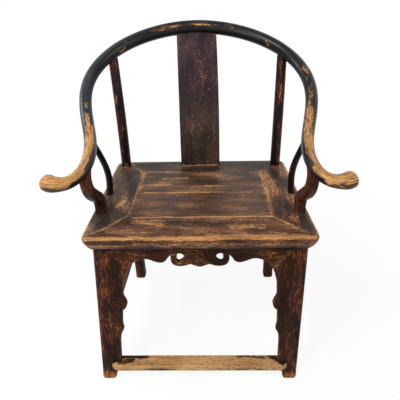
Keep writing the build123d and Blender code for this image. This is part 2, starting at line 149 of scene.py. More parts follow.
# ---------------------------------------------------------------- shapes


def smooth_run(stations, spacing):
    """Evenly spaced points on the natural cubic spline through the stations, with their other columns."""
    table = np.array(stations, float)
    chord = np.linalg.norm(np.diff(table[:, :3], axis=0), axis=1)
    knots = np.concatenate(([0], np.cumsum(chord)))
    last = len(knots) - 1
    system = np.eye(last + 1)
    pull = np.zeros_like(table)
    for i in range(1, last):
        system[i, i - 1 : i + 2] = chord[i - 1], 2 * (chord[i - 1] + chord[i]), chord[i]
        pull[i] = 6 * ((table[i + 1] - table[i]) / chord[i] - (table[i] - table[i - 1]) / chord[i - 1])
    bends = np.linalg.solve(system, pull)
    places = np.linspace(0, knots[-1], max(2, round(knots[-1] / spacing) + 1))
    span = np.clip(np.searchsorted(knots, places, side="right") - 1, 0, last - 1)
    width = chord[span][:, None]
    ahead = (places[:, None] - knots[span][:, None]) / width
    back = 1 - ahead
    curve = (back**3 - back) * bends[span] + (ahead**3 - ahead) * bends[span + 1]
    return back * table[span] + ahead * table[span + 1] + curve * width**2 / 6


def placed(origin, x_way, y_way, z_way):
    """A place in metres and three directions as one matrix."""
    return Matrix.Translation(origin) @ Matrix((x_way, y_way, z_way)).transposed().to_4x4()


def frames(run, level=(0, 0, 1)):
    """At each point of a run: the place and the directions across, up and along, as a matrix in metres."""
    centres = run[:, :3] * MM
    result = []
    for centre, way in zip(centres, np.gradient(centres, axis=0)):
        along = Vector(way).normalized()
        across = along.cross(Vector(level)).normalized()
        result.append(placed(centre, across, across.cross(along), along))
    return result


def round_ring(bm, place):
    """A unit circle as the first ring of a sweep."""
    made = bmesh.ops.create_circle(bm, segments=ROUND_SIDES, radius=1.0, matrix=place)
    return list({edge for vert in made["verts"] for edge in vert.link_edges})


def square_ring(half_width, half_height, rounding, cuts):
    """A maker of first rings: a rectangle with rounded corners, and extra points along each pair of sides."""

    def ring(bm, place):
        made = bmesh.ops.create_grid(bm, x_segments=1, y_segments=1, size=1.0)
        bmesh.ops.scale(bm, vec=(half_width * MM, half_height * MM, 1), verts=made["verts"])
        bmesh.ops.bevel(
            bm, geom=made["verts"], offset=rounding * MM,
            affect="VERTICES", segments=5, profile=0.5, material=-1,
        )
        bmesh.ops.delete(bm, geom=bm.faces[:], context="FACES_ONLY")
        sides = ([], [])
        for edge in bm.edges:
            way = edge.verts[1].co - edge.verts[0].co
            for axis, half in enumerate((half_width, half_height)):
                if abs(abs(way[axis]) - 2 * (half - rounding) * MM) < ON_PLANE:
                    sides[axis].append(edge)
        for edges, count in zip(sides, cuts):
            if count:
                bmesh.ops.subdivide_edges(bm, edges=edges, cuts=count)
        bmesh.ops.transform(bm, matrix=place, verts=bm.verts[:])
        return bm.edges[:]

    return ring


def sweep(name, places, first_ring):
    """Extrude a ring from place to place, and close both ends."""
    bm = bmesh.new()
    edges = first_ring(bm, places[0])
    bmesh.ops.contextual_create(bm, geom=edges)
    for here, there in zip(places, places[1:]):
        grown = bmesh.ops.extrude_edge_only(bm, edges=edges)["geom"]
        edges = [part for part in grown if isinstance(part, bmesh.types.BMEdge)]
        verts = {part for part in grown if isinstance(part, bmesh.types.BMVert)}
        bmesh.ops.transform(bm, matrix=there @ here.inverted(), verts=list(verts))
        edges = [edge for edge in edges if verts.issuperset(edge.verts)]
    bmesh.ops.contextual_create(bm, geom=edges)
    bmesh.ops.recalc_face_normals(bm, faces=bm.faces[:])
    return new_piece(name, bm)


def new_piece(name, bm):
    """A new object from a bmesh, with its place in its mesh."""
    mesh = bpy.data.meshes.new(name)
    bm.to_mesh(mesh)
    bm.free()
    piece = bpy.data.objects.new(name, mesh)
    bpy.context.scene.collection.objects.link(piece)
    return piece


def prism(name, outline, plane, depth):
    """A straight-sided block: an outline in a plane, pushed along the plane's normal."""
    bm = bmesh.new()
    face = bm.faces.new([bm.verts.new((x * MM, y * MM, 0)) for x, y in outline])
    grown = bmesh.ops.extrude_face_region(bm, geom=[face])["geom"]
    verts = [part for part in grown if isinstance(part, bmesh.types.BMVert)]
    bmesh.ops.translate(bm, vec=(0, 0, depth * MM), verts=verts)
    bmesh.ops.recalc_face_normals(bm, faces=bm.faces[:])
    bmesh.ops.transform(bm, matrix=plane, verts=bm.verts[:])
    return new_piece(name, bm)


def shown_mesh(piece):
    """The mesh that a curve or a piece's modifiers make."""
    return bpy.data.meshes.new_from_object(piece.evaluated_get(bpy.context.evaluated_depsgraph_get()))


def carve(piece, tool, operation):
    """Cut a piece with a tool, which is used up."""
    cut = piece.modifiers.new("carve", "BOOLEAN")
    cut.object = tool
    cut.operation = operation
    cut.solver = "EXACT"
    shaped = shown_mesh(piece)
    piece.modifiers.clear()
    piece.data = shaped
    bpy.data.objects.remove(tool)


def copy_of(piece, name, mirrored=False):
    """A copy of a piece, or its mirror image on the other side of the chair."""
    bm = bmesh.new()
    bm.from_mesh(piece.data)
    if mirrored:
        bmesh.ops.scale(bm, vec=(-1, 1, 1), verts=bm.verts[:])
        bmesh.ops.reverse_faces(bm, faces=bm.faces[:])
    return new_piece(name, bm)


def from_curve(name, curve, plane):
    """The mesh of a curve, laid in a plane."""
    flat = bpy.data.objects.new(name + "_line", curve)
    bpy.context.scene.collection.objects.link(flat)
    mesh = shown_mesh(flat)
    bpy.data.objects.remove(flat)
    bm = bmesh.new()
    bm.from_mesh(mesh)
    bmesh.ops.remove_doubles(bm, verts=bm.verts[:], dist=ONE_POINT)
    bmesh.ops.recalc_face_normals(bm, faces=bm.faces[:])
    bmesh.ops.transform(bm, matrix=plane, verts=bm.verts[:])
    return new_piece(name, bm)


def board(name, runs, plane, thickness, rounding, holes=()):
    """A board cut to an outline of smooth runs, which meet in corners, with its edges rounded over."""
    curve = bpy.data.curves.new(name, "CURVE")
    curve.dimensions = "2D"
    curve.fill_mode = "BOTH"
    curve.resolution_u = 8
    curve.extrude = thickness / 2 * MM - rounding
    curve.bevel_depth = rounding
    curve.bevel_resolution = 2
    curve.offset = -rounding
    for loop in (runs, *holes):
        points = []
        for run in loop:
            ends = (0, len(run) - 1) if len(loop) > 1 else ()
            points.extend((point, place in ends) for place, point in enumerate(run))
        points = [here for here, there in zip(points, points[1:] + points[:1]) if here[0] != there[0]]
        spline = curve.splines.new("BEZIER")
        spline.use_cyclic_u = True
        spline.bezier_points.add(len(points) - 1)
        for knot, ((x, y), corner) in zip(spline.bezier_points, points):
            knot.co = (x * MM, y * MM, 0)
            knot.handle_left_type = knot.handle_right_type = "VECTOR" if corner else "AUTO"
    return from_curve(name, curve, plane)


def ridges(name, runs, plane, radius):
    """Thin raised lines, each along a run of points on a face."""
    curve = bpy.data.curves.new(name, "CURVE")
    curve.dimensions = "3D"
    curve.resolution_u = 6
    curve.bevel_depth = radius
    curve.bevel_resolution = 2
    curve.use_fill_caps = True
    for run in runs:
        spline = curve.splines.new("BEZIER")
        spline.bezier_points.add(len(run) - 1)
        for knot, (x, y) in zip(spline.bezier_points, run):
            knot.co = (x * MM, y * MM, 0)
            knot.handle_left_type = knot.handle_right_type = "AUTO"
    return from_curve(name, curve, plane)


def cross_cut(piece, axes, spacing):
    """Cut a piece's faces by a grid of planes, so that they can carry a pattern of wear."""
    bm = bmesh.new()
    bm.from_mesh(piece.data)
    for axis in axes:
        places = [vert.co[axis] for vert in bm.verts]
        low, high = min(places), max(places)
        normal = Vector([float(other == axis) for other in range(3)])
        for place in np.arange(low + spacing, high, spacing):
            geometry = bm.verts[:] + bm.edges[:] + bm.faces[:]
            point = normal * float(place)
            bmesh.ops.bisect_plane(bm, geom=geometry, dist=ON_PLANE, plane_co=point, plane_no=normal)
    bm.to_mesh(piece.data)
    bm.free()


def plane_at(origin, x_way, y_way):
    """A plane as a matrix, from a point in millimetres and two directions."""
    x_way = Vector(x_way).normalized()
    z_way = x_way.cross(Vector(y_way)).normalized()
    return placed(Vector(origin) * MM, x_way, z_way.cross(x_way), z_way)


# ---------------------------------------------------------------- materials

# Each finish: the top coat, the red-brown coat under it and the wood, each from dark to light; then how
# far the coat is gone all over (base), on edges (edge), in streaks, in chips, in broad patches and in
# specks; then roughness and strength of the sheen. Some have a relief of their own in millimetres, and some
# coats turn to another pair of colours in a direction of the grain's space, between two places in
# millimetres. On the rail the first pair is a painted sheen and the second is painted shade. On the front
# rail of the seat the second pair is painted shade low on its edge. On the splat it is the coat's own
# tone, and on the boards the coat goes darker and greyer towards the back.
FINISHES = {
    # The rail's slate coat is a painted sheen on its top and outer faces. Its second pair, near black, is
    # painted shade on its inner and lower faces and more of the rail towards the sitter's left.
    "brushed_lacquer_rail": dict(
        coat=("#171a1e", "#2c3136"), under=("#2e1c12", "#6b452a"), wood=("#7a5128", "#ba8a50"),
        base=-0.24, edge=0.1, streaks=1.0, chips=1.5, patches=0.7, specks=0.1, rough=0.29, sheen=0.22,
        relief=0.1, tone_and_shade=((0.015, 0.8, -0.6), -10, 2, ("#080707", "#12100f")),
    ),
    "brushed_lacquer_posts": dict(
        coat=("#0f0a0a", "#1f1411"), under=("#2f150c", "#6e3017"), wood=("#6e3a1b", "#b3743c"),
        base=-0.04, edge=0.08, streaks=0.9, chips=0.9, patches=0.7, specks=0.1, rough=0.34, sheen=0.12,
    ),
    "brushed_lacquer_goosenecks": dict(
        coat=("#22130d", "#42251a"), under=("#46230f", "#6b3a1e"), wood=("#7d4a22", "#ad743c"),
        base=0.0, edge=0.12, streaks=0.8, chips=0.8, patches=0.7, specks=0.1, rough=0.42, sheen=0.06,
    ),
    "brushed_lacquer_splat": dict(
        coat=("#28201c", "#3d312a"), under=("#3f2721", "#5a342a"), wood=("#74503a", "#b48a62"),
        base=0.0, edge=0.3, streaks=0.7, chips=1.4, patches=0.6, specks=1.0, rough=0.42, sheen=0.12,
        tone_and_shade=((1, 0, 0), 640, 840, ("#1d1316", "#332429")),
    ),
    # The front rail's second pair of coat colours, near black low on its moulded edge, is painted shade under
    # the edge.
    "rubbed_lacquer_front_rail": dict(
        coat=("#2e1f17", "#503729"), under=("#543626", "#74503a"), wood=("#7d5331", "#b48350"),
        base=0.14, edge=0.16, streaks=0.7, chips=1.1, patches=0.6, specks=0.2, rough=0.45, sheen=0.08,
        tone_and_shade=((0, 0, -1), -490, -476, ("#100b09", "#1b120e")),
    ),
    "rubbed_lacquer_rear_rail": dict(
        coat=("#2a211c", "#43352b"), under=("#46301f", "#5c4230"), wood=("#7f5836", "#ab8052"),
        base=0.08, edge=0.12, streaks=0.8, chips=1.0, patches=0.6, specks=0.2, rough=0.42, sheen=0.1,
    ),
    "rubbed_lacquer_right_rail": dict(
        coat=("#2b241f", "#463a31"), under=("#4a372b", "#5f4938"), wood=("#7a5536", "#a97e50"),
        base=0.1, edge=0.12, streaks=0.6, chips=1.5, patches=0.9, specks=0.4, rough=0.42, sheen=0.1,
    ),
    "rubbed_lacquer_left_rail": dict(
        coat=("#2b211c", "#46342a"), under=("#52301f", "#6f4733"), wood=("#83573a", "#ad8058"),
        base=0.13, edge=0.12, streaks=0.6, chips=1.7, patches=1.0, specks=0.4, rough=0.42, sheen=0.1,
    ),
    # The boards' coat goes darker and greyer towards the back.
    "rubbed_lacquer_boards": dict(
        coat=("#3c2b22", "#553f32"), under=("#56392a", "#704e3a"), wood=("#7e5737", "#ad8154"),
        base=0.13, edge=0.14, streaks=0.5, chips=0.9, patches=0.7, specks=0.15, rough=0.4, sheen=0.1,
        tone_and_shade=((0, 1, 0), 0, 140, ("#2f2820", "#463b2f")),
    ),
    "brushed_lacquer_legs": dict(
        coat=("#1c110d", "#352118"), under=("#4a2413", "#70391f"), wood=("#663a1d", "#9c693a"),
        base=0.08, edge=0.16, streaks=1.0, chips=1.1, patches=0.7, specks=0.35, rough=0.5, sheen=0.06,
    ),
    "brushed_lacquer_aprons": dict(
        coat=("#21130c", "#382115"), under=("#452613", "#60361c"), wood=("#714827", "#b5844c"),
        base=0.05, edge=0.42, streaks=0.6, chips=1.4, patches=0.7, specks=0.4, rough=0.5, sheen=0.05,
    ),
    "foot_worn_elm": dict(
        coat=("#21160f", "#3c291c"), under=("#4b331f", "#6b4a2c"), wood=("#8c6640", "#b88f5e"),
        base=0.62, edge=0.02, streaks=0.8, chips=1.2, patches=0.8, specks=0.0, rough=0.55, sheen=0.12,
    ),
}
# Distance in millimetres of the bump on a finish that has no relief of its own.
RELIEF = 0.35
# How much wear it takes before the coat starts to thin and is thin, and before it breaks and is gone.
THINNING = (0.08, 0.24)
BREAKING = (0.28, 0.38)
# Size in millimetres of the patches, streaks, chips and pores, and spacing of the specks.
PATCH_SIZE, STREAK_SIZE, CHIP_SIZE, PORE_SIZE, SPECK_SPACING = 42, 3.8, 3.6, 1.5, 7
# How far streaks and chips are squeezed along the grain.
STREAK_SQUEEZE, CHIP_SQUEEZE = 0.11, 0.35
# Radius in metres within which an edge counts as near.
EDGE_REACH = 0.0028


def put(tree, kind, inputs=None, **settings):
    """Add a node, with its settings and with its sockets set or linked."""
    added = tree.nodes.new(kind)
    for key, value in settings.items():
        setattr(added, key, value)
    for key, value in (inputs or {}).items():
        if isinstance(value, bpy.types.NodeSocket):
            tree.links.new(value, added.inputs[key])
        else:
            added.inputs[key].default_value = value
    return added


def new_material(name):
    """An empty node material and its tree."""
    material = bpy.data.materials.new(name)
    material.use_nodes = True
    material.node_tree.nodes.clear()
    return material, material.node_tree


def noise(tree, place, size, detail, roughness=0.5):
    """Noise whose grains are about this many millimetres across."""
    inputs = {"Vector": place, "Scale": 1 / (size * MM), "Detail": detail, "Roughness": roughness}
    return put(tree, "ShaderNodeTexNoise", inputs).outputs[0]


def stretched(tree, place, share):
    """A place squeezed along the grain, so that what is drawn there comes out drawn out."""
    return put(tree, "ShaderNodeMapping", {"Vector": place, "Scale": (share, 1, 1)}).outputs[0]


def soft_step(tree, value, low, high):
    """0 below low and 1 above high, with a smooth slope between."""
    inputs = {"Value": value, "From Min": low, "From Max": high}
    return put(tree, "ShaderNodeMapRange", inputs, interpolation_type="SMOOTHSTEP").outputs["Result"]


def sum_of(tree, terms, start=0.0):
    """A total of sockets, each times its own weight."""
    total = start
    for value, weight in terms:
        inputs = {0: value, 1: weight, 2: total}
        total = put(tree, "ShaderNodeMath", inputs, operation="MULTIPLY_ADD").outputs[0]
    return total


def dot_of(tree, one, other):
    """How far one direction or place goes along another."""
    return put(tree, "ShaderNodeVectorMath", {0: one, 1: other}, operation="DOT_PRODUCT").outputs["Value"]


def blend(tree, share, under, over):
    """One colour over another, each a socket or a hex code."""
    colours = [(*linear(colour), 1) if isinstance(colour, str) else colour for colour in (under, over)]
    inputs = {"Factor": share, 6: colours[0], 7: colours[1]}
    return put(tree, "ShaderNodeMix", inputs, data_type="RGBA").outputs[2]


def worn_lacquer(name):
    """Brushed lacquer over elm, rubbed through by use.

    To the eye it is near black with a soft sheen, goes red-brown where the coat is thin, and shows honey
    wood with dark pores where it is gone. The wear comes from the rubbing stored on the piece, which also
    keeps the coat where shade is painted, from its edges and from noise that runs with the grain.
    """
    if name in bpy.data.materials:
        return bpy.data.materials[name]
    settings = bpy.context.scene.armchair_finish
    look = FINISHES[name]
    material, tree = new_material(name)
    grain = put(tree, "ShaderNodeAttribute", attribute_name="grain").outputs["Vector"]
    rub_and_shade = put(tree, "ShaderNodeAttribute", attribute_name="rub_and_shade").outputs["Fac"]
    long_way = stretched(tree, grain, STREAK_SQUEEZE)
    short_way = stretched(tree, grain, CHIP_SQUEEZE)
    patches = noise(tree, short_way, PATCH_SIZE, 4)
    streaks = noise(tree, long_way, STREAK_SIZE, 5, 0.6)
    chips = noise(tree, short_way, CHIP_SIZE, 5, 0.7)
    pores = noise(tree, long_way, PORE_SIZE, 3, 0.6)
    cells = {"Vector": short_way, "Scale": 1 / (SPECK_SPACING * MM)}
    dots = put(tree, "ShaderNodeTexVoronoi", cells).outputs["Distance"]
    specks = soft_step(tree, sum_of(tree, [(chips, 0.5)], dots), 0.42, 0.3)
    rounded = put(tree, "ShaderNodeBevel", {"Radius": EDGE_REACH}, samples=6).outputs[0]
    straight = put(tree, "ShaderNodeNewGeometry").outputs["Normal"]
    corner = soft_step(tree, dot_of(tree, rounded, straight), 0.995, 0.87)

    terms = [(rub_and_shade, 1.0), (corner, look["edge"]), (specks, 0.6 * look["specks"])]
    terms += [(streaks, look["streaks"]), (chips, look["chips"]), (patches, look["patches"])]
    middle = (look["streaks"] + look["chips"] + look["patches"]) / 2
    wear = sum_of(tree, terms, look["base"] + settings.wear - middle)
    thin = soft_step(tree, wear, *THINNING)
    bare = soft_step(tree, wear, *BREAKING)

    shade = soft_step(tree, sum_of(tree, [(patches, 0.6), (streaks, 0.4)]), 0.38, 0.62)
    figure = soft_step(tree, sum_of(tree, [(pores, 0.35), (streaks, 0.4), (patches, 0.25)]), 0.41, 0.58)
    pits = soft_step(tree, sum_of(tree, [(chips, 0.6), (pores, 0.4)]), 0.46, 0.4)
    wood = blend(tree, pits, blend(tree, figure, *look["wood"]), look["under"][1])
    coat = blend(tree, shade, *look["coat"])
    # The coat turns to a second pair of colours along a direction of the grain's space. On the rail, slate
    # turns to near black: painted sheen above and outside, painted shade inside and below. Low on the front
    # rail of the seat the near black is painted shade. On the splat it is the coat's own tone, and the boards
    # go darker and greyer towards the back.
    if "tone_and_shade" in look:
        way, start, end, other = look["tone_and_shade"]
        tone_and_shade_share = soft_step(tree, dot_of(tree, grain, way), start * MM, end * MM)
        coat = blend(tree, tone_and_shade_share, coat, blend(tree, shade, *other))
    coat = blend(tree, thin, coat, blend(tree, shade, *look["under"]))
    colour = blend(tree, bare, coat, wood)

    roughness = sum_of(tree, [(bare, 0.12), (patches, 0.2)], look["rough"] - 0.1)
    height = sum_of(tree, [(bare, -0.5), (streaks, 0.4), (pores, 0.3), (chips, 0.25)])
    relief = look.get("relief", RELIEF) * MM
    bump = put(tree, "ShaderNodeBump", {"Height": height, "Strength": 0.5, "Distance": relief}).outputs[0]
    sheen = look["sheen"] * settings.gloss
    surface = {"Base Color": colour, "Roughness": roughness, "Normal": bump, "Specular IOR Level": sheen}
    shader = put(tree, "ShaderNodeBsdfPrincipled", surface)
    put(tree, "ShaderNodeOutputMaterial", {"Surface": shader.outputs[0]})
    return material


def planed_elm():
    """Elm that was never lacquered: matt and brown, with soft rings and open pores."""
    settings = bpy.context.scene.armchair_finish
    material, tree = new_material("planed_elm")
    place = put(tree, "ShaderNodeTexCoord").outputs["Object"]
    along = put(tree, "ShaderNodeMapping", {"Vector": place, "Scale": (1, 0.08, 1)}).outputs[0]
    rings = noise(tree, along, 7, 6)
    colour = blend(tree, soft_step(tree, rings, 0.3, 0.7), (*settings.raw_dark, 1), (*settings.raw_pale, 1))
    bump = put(tree, "ShaderNodeBump", {"Height": rings, "Strength": 0.4, "Distance": 0.0005}).outputs[0]
    shader = put(tree, "ShaderNodeBsdfPrincipled", {"Base Color": colour, "Roughness": 0.68, "Normal": bump})
    put(tree, "ShaderNodeOutputMaterial", {"Surface": shader.outputs[0]})
    return material


# ---------------------------------------------------------------- wear and finish

# Where hands and clothes have rubbed the rail: from and to as places along it from the middle of the back
# (towards the sitter's left), inwards and up from its centre line; then width, and how far through the
# coat. A depth below nothing spares the coat.
RAIL_WEAR = [
    ((-90, 15, 10), (60, 15, 10), 8, 0.47),
    ((-150, 15, 10), (120, 15, 10), 10, 0.38),
    ((-286, 17, -7), (-262, 17, -5), 2.5, 0.7),
    ((-262, 17, -5), (-247, 14, 12), 2.6, 0.7),
    ((245, 16, 5), (262, 16, -6), 3.6, 0.8),
    ((-560, -17, 5), (-240, -17, 5), 3, 0.25),
    ((-562, 3, 18), (-545, 3, 18), 7, 0.6),
    ((-650, 0, 17), (-585, 1, 17), 9, 0.6),
    ((-800, -3, 16), (-640, 0, 17), 16, 0.8),
    ((-860, -3, 15), (-790, -3, 16), 18, 0.85),
    ((-938, 4, 12), (-850, 2, 14), 27, 0.9),
    ((-885, 14, -5), (-790, 16, 2), 11, -0.9),
    ((415, 6, 18), (515, 8, 17), 13, 0.4),
    ((515, 4, 17), (590, 3, 17), 12, 0.5),
    ((580, 2, 17), (700, 0, 17), 16, 0.78),
    ((690, -2, 16), (860, -4, 14), 18, 0.85),
    ((850, 2, 13), (945, 4, 12), 27, 0.9),
    ((690, 16, 0), (880, 14, -5), 11, -0.9),
]
# The same for the rest of the chair, as places on the chair. Strokes that spare the coat on the rear
# feet and low on the seat's front edge paint shade there.
WEAR_AND_SHADE = [
    # the rear posts
    ((-277, 184, 768), (-279, 184, 746), 13, 0.42),
    ((-266, 186, 838), (-264, 186, 868), 5, 0.25),
    ((268, 186, 872), (271, 186, 742), 16, 0.4),
    ((-272, 186, 720), (-269, 186, 560), 14, 0.18),
    ((272, 186, 670), (269, 186, 540), 14, 0.18),
    ((-268, 184, 522), (-268, 184, 512), 12, 0.3),
    # the splat's red grain and its foot
    ((12, 240, 915), (24, 212, 780), 20, 0.2),
    ((-20, 235, 900), (-14, 205, 760), 12, 0.12),
    ((-62, 192, 515), (62, 192, 515), 5, 0.5),
    # the front edge of the seat
    ((-290, -264, 515), (290, -264, 515), 7, 0.5),
    ((20, -256, 515), (270, -256, 515), 9, 0.25),
    ((-300, -272, 496), (300, -272, 496), 9, 0.2),
    ((-285, -271, 503), (-175, -271, 503), 7, -0.5),
    ((-298, -255, 513), (-298, 222, 513), 5, 0.22),
    ((298, -255, 513), (298, 222, 513), 5, 0.28),
    # mitres and the ends of the boards
    ((-276, -240, 515), (-227, -190, 515), 7, 0.2),
    ((-227, -190, 515), (-199, -150, 515), 4, 0.3),
    ((-198, -150, 515), (-198, 0, 515), 3.5, 0.22),
    ((-193, 0, 515), (-196, 130, 515), 9, 0.27),
    ((-200, 132, 515), (-255, 215, 515), 9, 0.22),
    ((-200, 136, 515), (-76, 142, 515), 8, 0.28),
    ((206, 145, 515), (202, -165, 515), 9, 0.22),
    ((205, -165, 515), (250, -222, 515), 4, 0.22),
    # the joints between the boards, and scuffs
    ((-185, -164, 515), (200, -164, 515), 2.6, 0.32),
    ((-174, -18, 515), (26, -18, 515), 3, 0.42),
    ((30, -18, 515), (160, -18, 515), 2, 0.25),
    ((-190, 36, 515), (-94, 38, 515), 4, 0.36),
    ((20, 26, 515), (92, 24, 515), 5, 0.3),
    ((-83, 87, 515), (-44, 88, 515), 8, 0.45),
    ((-125, 84, 515), (-97, 83, 515), 8, 0.32),
    ((-178, -186, 515), (-105, -200, 515), 13, 0.22),
    ((85, -212, 515), (165, -214, 515), 15, 0.22),
    ((-245, -105, 515), (-226, -72, 515), 7, 0.22),
    # the footrest's back corners keep their coat
    ((-245, -240, 66), (-165, -243, 66), 11, -0.7),
    ((-240, -266, 66), (-205, -258, 66), 10, -0.55),
    ((-250, -279, 52), (250, -279, 52), 5, -0.25),
    ((118, -243, 66), (195, -247, 66), 8, -0.55),
    ((215, -240, 66), (250, -262, 66), 12, -0.75),
    # the front feet are rubbed, and the rear feet keep their coat, which paints shade on them
    ((-276, -270, 0), (-276, -270, 12), 26, 0.42),
    ((276, -270, 0), (276, -270, 12), 26, 0.42),
    ((-266, 209, 0), (-266, 209, 120), 30, -0.15),
    ((266, 209, 0), (266, 209, 120), 30, -0.15),
    # the lower part of the seat's front edge keeps its coat, which paints shade under the edge
    ((-300, -262, 470), (300, -262, 470), 11, -0.4),
]
# A stroke is full within this much of its width less one, and is gone at this much of it.
STROKE_REACH = 1.3


def stroke_depth(points, strokes):
    """How far each point is rubbed: the deepest stroke that reaches it, less any that spares it."""
    deepest = np.zeros(len(points))
    sparing = np.zeros(len(points))
    for start, end, width, depth in strokes:
        start, end = np.array(start) * MM, np.array(end) * MM
        way = end - start
        share = np.clip((points - start) @ way / max(way @ way, 1e-12), 0, 1)
        gap = np.linalg.norm(points - start - share[:, None] * way, axis=1)
        near = np.clip(STROKE_REACH - gap / (width * MM), 0, 1)
        near = near * near * (3 - 2 * near) * depth
        if depth > 0:
            deepest = np.maximum(deepest, near)
        else:
            sparing = np.minimum(sparing, near)
    return deepest + sparing


def grain_of(points, grain):
    """Each point's place along, across and up: by the axes, or from the middle of a bent piece's line."""
    if isinstance(grain, str):
        first = "XYZ".index(grain)
        return points[:, [first, (first + 1) % 3, (first + 2) % 3]]
    turns = np.array([np.array(place) for place in frames(*grain)])
    centres = turns[:, :3, 3]
    steps = np.concatenate(([0], np.cumsum(np.linalg.norm(np.diff(centres, axis=0), axis=1))))
    nearest = np.concatenate(
        [np.argmin(((part[:, None] - centres) ** 2).sum(2), axis=1) for part in np.array_split(points, 40)]
    )
    local = np.einsum("nij,nj->ni", turns[nearest][:, :3, :3].transpose(0, 2, 1), points - centres[nearest])
    return np.column_stack((steps[nearest] - steps[-1] / 2 + local[:, 2], local[:, 0], local[:, 1]))


def settled(points):
    """Where the points of the new chair are now: the rail leans to one side and the feet have twisted."""
    sizes = bpy.context.scene.armchair_sizes
    moved = points.copy()
    above = np.clip((points[:, 2] - SEAT_TOP * MM) / (RAIL_RISE * MM), 0, None)
    below = np.clip(1 - points[:, 2] / (SEAT_UNDER * MM), 0, None)
    behind = (points[:, 1] - FOOT_MIDDLE * MM) / (FOOT_SPREAD * MM)
    moved[:, 0] += sizes.foot_twist * below * behind - sizes.rail_lean * above**2
    return moved


def finish(piece, material, grain, nodes=(), shift=0.0, wear=WEAR_AND_SHADE):
    """Give a piece its grain, its wear with painted shade among it, its material and its place on the chair.
    """
    mesh = piece.data
    points = np.zeros(len(mesh.vertices) * 3)
    mesh.vertices.foreach_get("co", points)
    points = points.reshape(-1, 3)
    along = grain_of(points, grain)
    rub_and_shade_depth = stroke_depth(along if wear is RAIL_WEAR else points, wear)
    for name, kind, key, values in (
        ("grain", "FLOAT_VECTOR", "vector", along + (shift, 0, 0)),
        ("rub_and_shade", "FLOAT", "value", rub_and_shade_depth),
    ):
        mesh.attributes.new(name, kind, "POINT").data.foreach_set(key, values.astype(np.float32).ravel())
    mesh.vertices.foreach_set("co", settled(points).ravel())
    mesh.shade_smooth()
    mesh.set_sharp_from_angle(angle=radians(SHARP_ANGLE))
    mesh.materials.clear()
    mesh.materials.append(material)
    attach(piece, "root")
    if nodes:
        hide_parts(*nodes)


def finish_both(piece, name, material, grain, node="", shift=0.0):
    """Finish the left piece, with its grain shifted, and its mirror image on the right, with none."""
    right = copy_of(piece, name + "_right", mirrored=True)
    right_grain = grain if isinstance(grain, str) else (grain[0] * (-1, 1, 1, 1), *grain[1:])
    nodes = [node + "_left", node + "_right"] if node else []
    finish(piece, material, grain, nodes[:1], shift)
    finish(right, material, right_grain, nodes[1:])


# ---------------------------------------------------------------- the rail

RAIL_HALF = [
    (110.0, 291.3, 964.0, 17.5, 21.3),
    (187.0, 268.5, 945.0, 17.8, 20.8),
    (246.0, 238.6, 921.0, 18.0, 20.3),
    (292.0, 199.0, 892.0, 18.3, 19.5),
    (322.0, 153.0, 860.0, 18.5, 19.0),
    (336.0, 103.0, 826.0, 18.3, 18.6),
    (334.5, 50.0, 788.0, 18.0, 18.2),
    (321.0, -3.0, 752.0, 17.6, 17.8),
    (303.5, -57.0, 723.0, 17.1, 17.3),
    (289.0, -112.0, 704.0, 16.8, 17.0),
    (282.0, -170.0, 689.0, 16.3, 16.5),
    (283.0, -217.0, 682.0, 15.6, 15.8),
    (290.0, -265.5, 681.5, 14.8, 15.0),
    (303.0, -291.0, 683.5, 15.6, 15.8),
    (320.5, -300.5, 686.4, 18.0, 18.4),
    (332.0, -300.6, 688.7, 19.8, 20.2),
    (338.4, -298.2, 689.9, 19.8, 19.8),
]
RAIL_BACK = (0.0, 303.0, 974.0, 17.5, 21.5)
RAIL = [(-x, *rest) for x, *rest in reversed(RAIL_HALF)] + [RAIL_BACK] + RAIL_HALF
# Length of the rounding on each grip, the turns in degrees at which it has a ring, and how full it stays.
GRIP_ROUNDING = 11.5
GRIP_TURNS = range(12, 90, 11)
GRIP_FULLNESS = 0.75
# Middle of the lap on the sitter's left, the direction of the rail there, and the lap's length.
LAP_PLACE = (262.69, 226.59, 911.96)
LAP_WAY = (0.7149, -0.5619, -0.4162)
LAP_LENGTH = 86.0


